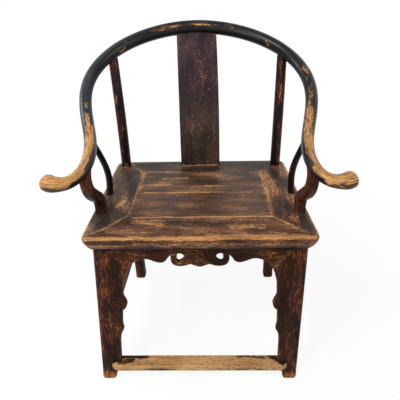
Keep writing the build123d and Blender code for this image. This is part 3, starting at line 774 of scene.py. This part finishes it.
class ARMCHAIR_OT_rail(bpy.types.Operator):
    """Turn the horseshoe rail and cut it into three pieces that lap and are wedged together."""

    bl_idname = "armchair.rail"
    bl_label = "Crest rail"

    def execute(self, context):
        run = smooth_run(RAIL, RAIL_STEP)
        line = frames(run)
        places = [place @ Matrix.Diagonal((a * MM, b * MM, 1, 1)) for place, (a, b) in zip(line, run[:, 3:])]
        for turn in GRIP_TURNS:
            reach, share = GRIP_ROUNDING * sin(radians(turn)) * MM, cos(radians(turn)) ** GRIP_FULLNESS
            for end, way, at in ((line[0], -1, 0), (line[-1], 1, len(places))):
                size = run[0, 3] * share * MM
                cap = end @ Matrix.Translation((0, 0, way * reach)) @ Matrix.Diagonal((size, size, 1, 1))
                places.insert(at, cap)
        rail = sweep("rail_back", places, round_ring)
        gap = context.scene.armchair_sizes.joint_gap / MM / 2
        far = 900.0
        pieces = [rail]
        for side in (1, -1):
            way = Vector((LAP_WAY[0] * side, *LAP_WAY[1:]))
            origin = Vector((LAP_PLACE[0] * side, *LAP_PLACE[1:]))
            up = way.cross(Vector((0, 0, 1))).cross(way)
            lap = plane_at(origin, way, up) @ Matrix.Translation((0, 0, -far / 2 * MM))
            arm = copy_of(rail, "rail_arm_left" if side > 0 else "rail_arm_right")
            for piece, give, cut in ((arm, gap, "INTERSECT"), (rail, -gap, "DIFFERENCE")):
                start, end = -LAP_LENGTH / 2 + give, LAP_LENGTH / 2 + give
                outline = [(start, far), (start, give), (end, give)]
                outline += [(end, -far / 2), (far, -far / 2), (far, far)]
                carve(piece, prism("lap_tool", outline, lap, far), cut)
            pieces.append(arm)
        lacquer = worn_lacquer("brushed_lacquer_rail")
        for piece, node in zip(pieces, ("crest_rail_centre", "crest_rail_left", "crest_rail_right")):
            finish(piece, lacquer, (run,), (node,), wear=RAIL_WEAR)
        for side in ("left", "right"):
            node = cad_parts[f"crest_wedge_{side}"]
            bm = bmesh.new()
            bm.from_mesh(node.data)
            bmesh.ops.transform(bm, matrix=node.matrix_world, verts=bm.verts[:])
            bmesh.ops.remove_doubles(bm, verts=bm.verts[:], dist=ONE_POINT)
            wedge = new_piece(f"lap_wedge_{side}", bm)
            finish(wedge, lacquer, (run,), (f"crest_wedge_{side}",), wear=RAIL_WEAR)
        return {"FINISHED"}


# ---------------------------------------------------------------- posts, necks and splat

# Stations of x, y, z and radius.
REAR_POST = [
    (268.5, 199.0, 468.0, 17.0),
    (268.5, 199.0, 515.0, 16.9),
    (268.9, 200.2, 620.0, 16.7),
    (269.8, 202.7, 700.0, 16.5),
    (271.6, 207.7, 800.0, 16.0),
    (273.8, 214.0, 889.0, 15.6),
]
SIDE_POST = [
    (280.5, -24.0, 512.0, 10.2),
    (277.0, -20.0, 560.0, 9.8),
    (279.0, -25.0, 600.0, 9.5),
    (288.0, -40.0, 650.0, 9.0),
    (299.0, -60.0, 702.0, 8.5),
    (301.5, -64.4, 715.0, 8.4),
]
# The splat's bend as y and z, how much narrower its top is, and its half width and half thickness.
SPLAT = [(199, 495), (196, 560), (202, 660), (223, 770), (257, 870), (303, 965)]
SPLAT_TAPER = 0.036
SPLAT_HALF = (69, 6)
SPLAT_ROUNDING = 2.2
# The goosenecks' outline as y and z.
NECK_FRONT = [(-142, 513), (-144, 545), (-150, 556)]
NECK_SWEEP = [(-150, 556), (-175, 574), (-202, 597), (-219, 622), (-226, 645), (-228, 680)]
NECK_BACK = [(-110, 513), (-111, 545), (-128, 572), (-158, 597), (-188, 621)]
NECK_HOLLOW = [(-188, 621), (-196, 630), (-203, 645), (-204, 660), (-196, 674), (-180, 690)]
NECK_X = 281
NECK_THICKNESS = 28
FRONTWARD = (0, -1, 0)


def turned(name, stations):
    """A round upright along a run of stations of x, y, z and radius."""
    run = smooth_run(stations, STEP)
    sizes = [Matrix.Diagonal((radius * MM, radius * MM, 1, 1)) for radius in run[:, 3]]
    places = [place @ size for place, size in zip(frames(run, FRONTWARD), sizes)]
    return sweep(name, places, round_ring), (run, FRONTWARD)


class ARMCHAIR_OT_uprights(bpy.types.Operator):
    """Turn the rear and side posts, and saw the goosenecks under the arms."""

    bl_idname = "armchair.uprights"
    bl_label = "Posts and goosenecks"

    def execute(self, context):
        sizes = context.scene.armchair_sizes
        lacquer = worn_lacquer("brushed_lacquer_posts")
        for name, stations, node in (
            ("rear_post", REAR_POST, ""),
            ("side_post_turned", SIDE_POST, "side_post"),
        ):
            post, grain = turned(name + "_left", stations)
            finish_both(post, name, lacquer, grain, node, shift=0.7)
        lacquer = worn_lacquer("brushed_lacquer_goosenecks")
        top = [NECK_SWEEP[-1], NECK_HOLLOW[-1]]
        runs = (NECK_FRONT, NECK_SWEEP, top, NECK_HOLLOW[::-1], NECK_BACK[::-1])
        plane = plane_at((NECK_X, 0, 0), (0, 1, 0), (0, 0, 1))
        neck = board("neck_left", runs, plane, NECK_THICKNESS, 4 * sizes.edge_rounding)
        cross_cut(neck, (1, 2), sizes.grid)
        finish_both(neck, "neck", lacquer, "Z", "gooseneck", shift=0.3)
        return {"FINISHED"}


class ARMCHAIR_OT_splat(bpy.types.Operator):
    """Shape the bent splat between the seat and the rail."""

    bl_idname = "armchair.splat"
    bl_label = "Splat"

    def execute(self, context):
        low, high = SPLAT[0][1], SPLAT[-1][1]
        stations = [(0, y, z, 1 - SPLAT_TAPER * (z - low) / (high - low)) for y, z in SPLAT]
        run = smooth_run(stations, STEP)
        sizes = [Matrix.Diagonal((share, 1, 1, 1)) for share in run[:, 3]]
        places = [place @ size for place, size in zip(frames(run, FRONTWARD), sizes)]
        splat = sweep("splat_board", places, square_ring(*SPLAT_HALF, SPLAT_ROUNDING, (27, 1)))
        finish(splat, worn_lacquer("brushed_lacquer_splat"), "Z", ("splat",))
        return {"FINISHED"}


# ---------------------------------------------------------------- the seat

# Height of each line round the moulded edge, and how far it is set in.
SEAT_EDGE = [
    (467.0, 20.0), (469.5, 17.2), (472.0, 14.8), (475.0, 12.2), (478.5, 9.8), (482.5, 7.5), (487.0, 5.3),
    (492.0, 3.2), (497.0, 1.6), (502.0, 0.5), (507.0, 0.0), (509.5, 0.4), (511.5, 1.2), (513.2, 2.4),
    (514.4, 3.9), (515.0, 5.8),
]
# Half the seat's width and depth, its middle from front to back, and the radius of its corners.
SEAT_HALF = (304.0, 252.0)
SEAT_MIDDLE = -18.0
SEAT_CORNER = 24
# Half the width of the frame's opening and its front and rear; then where the boards in it start and end.
OPENING = (202.0, -164.0, 134.0)
BOARD_EDGES = (-164.0, -18.0, 29.0, 134.0)
BOARD_HALF_THICKNESS = 6
BOARD_END_GAP = 0.4
BOARD_ROUNDING = 0.8
# Where the tools that cut through the seat start, and how high they reach.
CUT_FROM = 400
CUT_HEIGHT = 200


class ARMCHAIR_OT_seat(bpy.types.Operator):
    """Mould and mitre the seat frame, and fit the three boards in it."""

    bl_idname = "armchair.seat"
    bl_label = "Seat"

    def execute(self, context):
        sizes = context.scene.armchair_sizes
        half_width, half_depth = SEAT_HALF
        places = []
        for height, inset in SEAT_EDGE:
            shares = ((half_width - inset) / half_width, (half_depth - inset) / half_depth, 1, 1)
            shrink = Matrix.Diagonal(shares)
            places.append(Matrix.Translation((0, SEAT_MIDDLE * MM, height * MM)) @ shrink)
        blank = sweep("seat_blank", places, square_ring(half_width, half_depth, SEAT_CORNER, (0, 0)))
        inner, front, rear = OPENING
        under = plane_at((0, 0, CUT_FROM), (1, 0, 0), (0, 1, 0))
        hole = [(-inner, front), (inner, front), (inner, rear), (-inner, rear)]
        carve(blank, prism("opening_tool", hole, under, CUT_HEIGHT), "DIFFERENCE")

        gap = sizes.joint_gap / MM / 2
        outer = 1.5 * half_width
        beyond = (outer - inner) / (half_width - inner)
        ahead = front + beyond * (SEAT_MIDDLE - half_depth - front)
        behind = rear + beyond * (SEAT_MIDDLE + half_depth - rear)
        inside = 20.0
        side = [(inner - inside, front), (inner, front), (outer, ahead)]
        side += [(outer, behind), (inner, rear), (inner - inside, rear)]
        front_half = [(outer - gap, ahead), (inner - gap, front), (inner - gap, front + inside)]
        rear_half = [(outer - gap, behind), (inner - gap, rear), (inner - gap, rear - inside)]
        outlines = {
            "front": front_half + [(-x, y) for x, y in reversed(front_half)],
            "rear": rear_half + [(-x, y) for x, y in reversed(rear_half)],
            "left": side,
            "right": [(-x, y) for x, y in side],
        }
        for place, outline in outlines.items():
            rail = copy_of(blank, f"seat_rail_{place}")
            carve(rail, prism("mitre_tool", outline, under, CUT_HEIGHT), "INTERSECT")
            cross_cut(rail, (0, 1), sizes.grid)
            grain = "X" if place in ("front", "rear") else "Y"
            lacquer = worn_lacquer(f"rubbed_lacquer_{place}_rail")
            finish(rail, lacquer, grain, (f"seat_{place}_rail",), shift=0.2 * len(place))
        bpy.data.objects.remove(blank)

        lacquer = worn_lacquer("rubbed_lacquer_boards")
        for place, front, rear in zip(("front", "middle", "rear"), BOARD_EDGES, BOARD_EDGES[1:]):
            middle = (front + rear) / 2
            end, height = inner - BOARD_END_GAP, SEAT_TOP - BOARD_HALF_THICKNESS
            run = smooth_run([(-end, middle, height), (end, middle, height)], STEP)
            half, cuts = (rear - front) / 2 - gap, (round((rear - front) / STEP), 1)
            ring = square_ring(half, BOARD_HALF_THICKNESS, BOARD_ROUNDING, cuts)
            seat_board = sweep(f"seat_plank_{place}", frames(run), ring)
            nodes = (f"seat_board_{place}",)
            finish(seat_board, lacquer, "X", nodes, shift=0.17 * len(place))
        return {"FINISHED"}


# ---------------------------------------------------------------- legs, stretchers and footrest

# Middle of the leg under the seat and at the floor, and its thickness.
FRONT_LEG = ((261.0, -229.0), (276.0, -251.0), 41.0)
REAR_LEG = ((268.5, 199.0), (266.0, 209.0), 37.0)
LEG_ROUNDING = 8
# Share of the leg's thickness that is left at each height near the floor.
FOOT_EASING = {24: 1.0, 17: 1.02, 12: 1.03, 8: 1.015, 5: 0.98, 2.5: 0.92, 1: 0.85, 0: 0.74}
# Height of the middle of a rung, and half of its height.
SIDE_RUNG = (203.0, 25.0)
REAR_RUNG = (141.0, 17.0)
RUNG_HALF_THICKNESS = 11
RUNG_ROUNDING = 2.5
# Middle of the footrest at its ends and inside the legs, with its width there as a share.
FOOTREST_ENDS = [(-264, -253, 0.75), (-247, -258, 1.0), (247, -258, 1.0), (264, -253, 0.75)]
FOOTREST_HALF = (20, 11)
FOOTREST_HEIGHT = 55
FOOTREST_ROUNDING = 4


def on_leg(leg, height, side=1):
    """The middle of a leg at a height above the floor."""
    top, foot, _ = leg
    share = height / SEAT_UNDER
    x, y = (foot[axis] + share * (top[axis] - foot[axis]) for axis in (0, 1))
    return (side * x, y, height)


def square_leg(name, leg):
    """A square leg with rounded corners, and its foot rounded by wear."""
    places = []
    for height in [SEAT_UNDER + 1, *range(460, 28, -8), *FOOT_EASING]:
        easing = FOOT_EASING.get(height, 1.0)
        here = Matrix.Translation(Vector(on_leg(leg, height)) * MM)
        places.append(here @ Matrix.Diagonal((easing, easing, 1, 1)))
    return sweep(name, places, square_ring(leg[2] / 2, leg[2] / 2, LEG_ROUNDING, (6, 6)))


def rung(name, start, end, half_height):
    """A stretcher between two legs, a little rounded on its edges."""
    ring = square_ring(RUNG_HALF_THICKNESS, half_height, RUNG_ROUNDING, (3, 5))
    return sweep(name, frames(smooth_run([start, end], RUNG_STEP)), ring)


class ARMCHAIR_OT_legs(bpy.types.Operator):
    """Shape the four legs and join them with the stretchers and the footrest."""

    bl_idname = "armchair.legs"
    bl_label = "Legs and stretchers"

    def execute(self, context):
        lacquer = worn_lacquer("brushed_lacquer_legs")
        for name, leg in (("front_leg", FRONT_LEG), ("rear_leg", REAR_LEG)):
            made = square_leg(name + "_square_left", leg)
            finish_both(made, name + "_square", lacquer, "Z", name, shift=0.4)
        height, half_height = SIDE_RUNG
        made = rung("side_rung_left", on_leg(FRONT_LEG, height), on_leg(REAR_LEG, height), half_height)
        finish_both(made, "side_rung", lacquer, "Y", "side_stretcher", shift=0.6)
        height, half_height = REAR_RUNG
        made = rung("rear_rung", on_leg(REAR_LEG, height, -1), on_leg(REAR_LEG, height), half_height)
        finish(made, lacquer, "X", ("rear_stretcher",))

        places = []
        turn = Matrix(((0, 0, 1), (-1, 0, 0), (0, 1, 0))).to_4x4()
        ahead = FOOTREST_ENDS[1:] + FOOTREST_ENDS[-1:]
        for (x, y, share), (next_x, next_y, next_share) in zip(FOOTREST_ENDS, ahead):
            count = max(1, round((next_x - x) / STEP))
            for part in np.arange(count) / count:
                here = Vector((x + part * (next_x - x), y + part * (next_y - y), FOOTREST_HEIGHT)) * MM
                wide = share + part * (next_share - share)
                places.append(Matrix.Translation(here) @ turn @ Matrix.Diagonal((wide, 1, 1, 1)))
        rest = sweep("footrest_plank", places, square_ring(*FOOTREST_HALF, FOOTREST_ROUNDING, (7, 3)))
        finish(rest, worn_lacquer("foot_worn_elm"), "X", ("footrest",))
        return {"FINISHED"}


# ---------------------------------------------------------------- aprons

# The front apron is drawn in its own plane, with heights from the underside of the seat.
APRON_LEAN = 22.0 / SEAT_UNDER
APRON_FACE = -245.5
APRON_THICKNESS = 14
# The plain aprons' thickness, and how far they are set back from the faces of the legs.
SKIRT_THICKNESS = 12
SKIRT_SETBACK = 4
# Their brackets: width at the tip, depth at the tip and in the middle, and where the curve ends.
BRACKET_TIP = 27.5
BRACKET_DEPTH = 90.0
SKIRT_DEPTH = 38.0
BRACKET_END = 61.5
# How far behind the front apron the saw starts, and how far it cuts.
SAW_BEHIND = 6
SAW_REACH = 40
MITRE_LOW = (194, -62)
MITRE_HIGH = (248, 0)
WAVE = [
    MITRE_LOW, (181, -45), (166, -35.5), (149, -30.5), (134, -33),
    (119, -39.5), (104, -42.5), (92.5, -38), (85.5, -28), (78, -19.5),
]
SCROLL = [(78, -19.5), (77, -37), (71, -48), (56.6, -53.5), (41, -52.5), (26, -47.5)]
LOBE = [(26, -47.5), (12, -52.5), (0, -56), (-12, -52.5), (-26, -47.5)]
COMMA = [(62, -17), (49, -15), (42, -24.5), (48, -36), (57, -40), (62.5, -33), (61, -25)]
LEAF = [MITRE_LOW, (207.5, -98), (212, -134), (212.5, -156), (206.5, -172), (204.5, -185), (209.5, -197)]
NOTCH = [(209.5, -197), (218.5, -204)]
STEM = [(218.5, -204), (220.8, -234), (221.5, -258), (219.5, -274)]
FOOT = [(219.5, -274), (226, -287), (231, -308), (234, -354), (236, -407)]
VEINS = [
    [(238, -143), (233, -162), (223, -180), (210, -191)],
    [(231, -150), (225, -165), (217, -176), (208, -184)],
]
LOTUS = [[(2, -8), (9, -24), (24, -46)]]


def flip(run):
    """The same run on the other side of the middle, the other way round."""
    return [(-x, y) for x, y in reversed(run)]


def apron_plane(back):
    """The plane of the front apron, set back from its face by so many millimetres."""
    return plane_at((0, APRON_FACE + back, SEAT_UNDER), (1, 0, 0), (0, APRON_LEAN, 1))


def bracket_runs(length):
    """The outline of a plain apron with a curved bracket down each leg."""
    tip, depth, low = BRACKET_TIP, BRACKET_DEPTH, SKIRT_DEPTH
    left = [(tip, -depth), (tip + 4, -depth + 28), (tip + 14, -low - 8), (BRACKET_END, -low)]
    right = [(length - x, y) for x, y in reversed(left)]
    straight = [right[-1], (length, -depth), (length, 0), (0, 0), (0, -depth), left[0]]
    return [left, [left[-1], right[0]], right, *zip(straight, straight[1:])]


class ARMCHAIR_OT_aprons(bpy.types.Operator):
    """Saw and carve the cusped front apron, and the plain aprons at the sides and back."""

    bl_idname = "armchair.aprons"
    bl_label = "Aprons"

    def execute(self, context):
        sizes = context.scene.armchair_sizes
        rounding = sizes.edge_rounding
        lacquer = worn_lacquer("brushed_lacquer_aprons")
        lower = [WAVE, SCROLL, LOBE, flip(SCROLL), flip(WAVE)]
        top_edge = [lower[-1][-1], (-MITRE_HIGH[0], 0), MITRE_HIGH, MITRE_LOW]
        runs = [*lower, *zip(top_edge, top_edge[1:])]
        middle = apron_plane(APRON_THICKNESS / 2)
        top = board("apron_arch", runs, middle, APRON_THICKNESS, rounding, ([COMMA], [flip(COMMA)]))
        slit = [(60, -16.6), (60, -18.4), (80, -18.4), (80, -16.6)]
        open_mitre = [(197, -58), (249, 1), (241.5, 1), (200, -46)]
        behind = apron_plane(APRON_THICKNESS + SAW_BEHIND)
        for outline in (slit, flip(slit), open_mitre):
            carve(top, prism("saw_tool", outline, behind, SAW_REACH), "DIFFERENCE")
        cross_cut(top, (0, 2), sizes.grid)
        finish(top, lacquer, "X", ("front_apron_top",))
        fan = [[(lean * 2.2, -24), (lean * 7.5, abs(lean) * 1.4 - 50)] for lean in (-2, -1, 0, 1, 2)]
        lotus = ridges("lotus_veins", [*LOTUS, *map(flip, LOTUS), *fan], apron_plane(0), sizes.bead_radius)
        finish(lotus, lacquer, "X")

        edge = [FOOT[-1], (278, FOOT[-1][1]), (278, 0), MITRE_HIGH, MITRE_LOW]
        runs = [LEAF, NOTCH, STEM, FOOT, *zip(edge, edge[1:])]
        side_board = board("apron_leaf_left", runs, middle, APRON_THICKNESS, rounding)
        cross_cut(side_board, (0, 2), sizes.grid)
        finish_both(side_board, "apron_leaf", lacquer, "Z", "front_apron", shift=0.5)
        veins = ridges("leaf_veins_left", VEINS, apron_plane(0), sizes.bead_radius)
        carved = worn_lacquer("brushed_lacquer_legs")
        finish_both(veins, "leaf_veins", carved, "Z", shift=0.5)

        side_way = Vector((REAR_LEG[0][0] - FRONT_LEG[0][0], REAR_LEG[0][1] - FRONT_LEG[0][1], 0))
        inset = SKIRT_SETBACK + SKIRT_THICKNESS / 2
        x, y = FRONT_LEG[0]
        side_plane = plane_at((x + FRONT_LEG[2] / 2 - inset, y, SEAT_UNDER), side_way, (0, 0, 1))
        made = board("side_skirt_left", bracket_runs(side_way.length), side_plane, SKIRT_THICKNESS, rounding)
        cross_cut(made, (1, 2), 2 * sizes.grid)
        finish_both(made, "side_skirt", lacquer, "Y", "side_apron", shift=0.5)
        x, y = REAR_LEG[0]
        rear_plane = plane_at((x, y + REAR_LEG[2] / 2 - inset, SEAT_UNDER), (-1, 0, 0), (0, 0, 1))
        rear = board("rear_skirt", bracket_runs(2 * x), rear_plane, SKIRT_THICKNESS, rounding)
        cross_cut(rear, (0, 2), 2 * sizes.grid)
        finish(rear, lacquer, "X", ("rear_apron",))
        return {"FINISHED"}


class ARMCHAIR_OT_plain_wood(bpy.types.Operator):
    """Leave the battens and pegs as bare elm."""

    bl_idname = "armchair.plain_wood"
    bl_label = "Battens and pegs"

    def execute(self, context):
        elm = planed_elm()
        for name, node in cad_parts.items():
            if name.startswith(("seat_batten", "frame_peg")):
                node.data.materials.clear()
                node.data.materials.append(elm)
        return {"FINISHED"}


# ---------------------------------------------------------------- the studio

# Share of the floor's look that is plain white near its middle, between which distances in metres it
# becomes all white, and where the lamps aim.
FLOOR_WHITE = 0.88
FLOOR_FADE = (0.5, 1.6)
LAMP_AIM = (0, 0, 0.55)


class ARMCHAIR_OT_studio(bpy.types.Operator):
    """Set up the floor, the soft lamps and the camera."""

    bl_idname = "armchair.studio"
    bl_label = "Studio"

    def execute(self, context):
        stage = context.scene.armchair_stage
        bm = bmesh.new()
        bmesh.ops.create_grid(bm, x_segments=1, y_segments=1, size=12.0)
        floor = new_piece("floor", bm)
        paper, tree = new_material("white_paper")
        matt = put(tree, "ShaderNodeBsdfDiffuse", {"Color": (*stage.floor_colour, 1)})
        white = put(tree, "ShaderNodeEmission", {"Strength": 1.0})
        place = put(tree, "ShaderNodeTexCoord").outputs["Object"]
        distance = put(tree, "ShaderNodeVectorMath", {0: place}, operation="LENGTH").outputs["Value"]
        beyond = sum_of(tree, [(soft_step(tree, distance, *FLOOR_FADE), 1 - FLOOR_WHITE)], FLOOR_WHITE)
        seen = self.seen_directly(tree)
        share = put(tree, "ShaderNodeMath", {0: beyond, 1: seen}, operation="MULTIPLY").outputs[0]
        mixed = put(tree, "ShaderNodeMixShader", {0: share, 1: matt.outputs[0], 2: white.outputs[0]})
        put(tree, "ShaderNodeOutputMaterial", {"Surface": mixed.outputs[0]})
        floor.data.materials.append(paper)

        world = bpy.data.worlds.new("pale_room")
        context.scene.world = world
        world.use_nodes = True
        tree = world.node_tree
        tree.nodes.clear()
        room = put(tree, "ShaderNodeBackground", {"Color": (0.95, 0.97, 1.0, 1), "Strength": 0.6})
        white = put(tree, "ShaderNodeBackground", {"Color": (1, 1, 1, 1), "Strength": 1.0})
        seen = self.seen_directly(tree)
        mixed = put(tree, "ShaderNodeMixShader", {0: seen, 1: room.outputs[0], 2: white.outputs[0]})
        put(tree, "ShaderNodeOutputWorld", {"Surface": mixed.outputs[0]})

        for name, place, size, power, colour in (
            ("key_lamp", (-1.1, -1.3, 2.3), 0.8, stage.key_power, (1.0, 0.97, 0.93)),
            ("sky_lamp", (-2.0, 0.2, 1.8), 0.8, stage.key_power * 0.7, (0.82, 0.9, 1.0)),
            ("fill_lamp", (1.5, -1.0, 1.6), 1.4, stage.key_power * 0.4, (1.0, 0.95, 0.9)),
            ("window_lamp", (-0.85, -1.5, 1.15), 0.4, stage.key_power * 0.22, (0.88, 0.94, 1.0)),
        ):
            light = bpy.data.lights.new(name, "AREA")
            light.shape = "DISK"
            light.size = size
            light.energy = power
            light.color = colour
            lamp = bpy.data.objects.new(name, light)
            lamp.location = place
            lamp.rotation_euler = (Vector(LAMP_AIM) - Vector(place)).to_track_quat("-Z", "Y").to_euler()
            context.scene.collection.objects.link(lamp)

        lens = bpy.data.cameras.new("camera")
        lens.sensor_width = 36.0
        lens.lens = 33.64
        lens.shift_x = 0.0084
        lens.shift_y = -0.0597
        camera = bpy.data.objects.new("camera", lens)
        across = Vector((0.9997369, 0.01326188, -0.01871505))
        upward = Vector((0.01130068, 0.42524556, 0.90500746))
        behind = Vector((0.0199606, -0.90498085, 0.42498381))
        camera.matrix_world = placed((0.012924, -1.046565, 1.053734), across, upward, behind)
        context.scene.collection.objects.link(camera)
        context.scene.camera = camera
        context.scene.view_settings.view_transform = "Standard"
        return {"FINISHED"}

    @staticmethod
    def seen_directly(tree):
        """1 for the rays that show the background itself, seen straight on, mirrored or through glass."""
        path = put(tree, "ShaderNodeLightPath")
        seen = path.outputs["Is Camera Ray"]
        for kind in ("Is Glossy Ray", "Is Transmission Ray"):
            inputs = {0: seen, 1: path.outputs[kind]}
            seen = put(tree, "ShaderNodeMath", inputs, operation="MAXIMUM").outputs[0]
        return seen


class ARMCHAIR_PT_panel(bpy.types.Panel):
    """Shows the armchair's settings and a button for each step that builds it."""

    bl_idname = "ARMCHAIR_PT_panel"
    bl_label = "Horseshoe back armchair"
    bl_space_type = "VIEW_3D"
    bl_region_type = "UI"
    bl_category = "Armchair"

    def draw(self, context):
        scene = context.scene
        for settings in (scene.armchair_sizes, scene.armchair_finish, scene.armchair_stage):
            for key in settings.bl_rna.properties.keys():
                if key not in ("rna_type", "name"):
                    self.layout.prop(settings, key)
        for operator in OPERATORS:
            self.layout.operator(operator.bl_idname)


SETTINGS = {
    "armchair_sizes": ArmchairSizes,
    "armchair_finish": ArmchairFinish,
    "armchair_stage": ArmchairStage,
}
OPERATORS = (
    ARMCHAIR_OT_studio,
    ARMCHAIR_OT_rail,
    ARMCHAIR_OT_uprights,
    ARMCHAIR_OT_splat,
    ARMCHAIR_OT_seat,
    ARMCHAIR_OT_legs,
    ARMCHAIR_OT_aprons,
    ARMCHAIR_OT_plain_wood,
)


def register():
    """Register the settings, the operators and the panel."""
    for kind in (*SETTINGS.values(), *OPERATORS, ARMCHAIR_PT_panel):
        bpy.utils.register_class(kind)
    for name, kind in SETTINGS.items():
        setattr(bpy.types.Scene, name, PointerProperty(type=kind))


def unregister():
    """Take away what register added."""
    for name in SETTINGS:
        delattr(bpy.types.Scene, name)
    for kind in (ARMCHAIR_PT_panel, *OPERATORS, *SETTINGS.values()):
        bpy.utils.unregister_class(kind)


def main():
    """Register the add-on, and build the studio and every piece."""
    register()
    for operator in OPERATORS:
        family, name = operator.bl_idname.split(".")
        getattr(getattr(bpy.ops, family), name)()


if __name__ == "__main__":
    main()
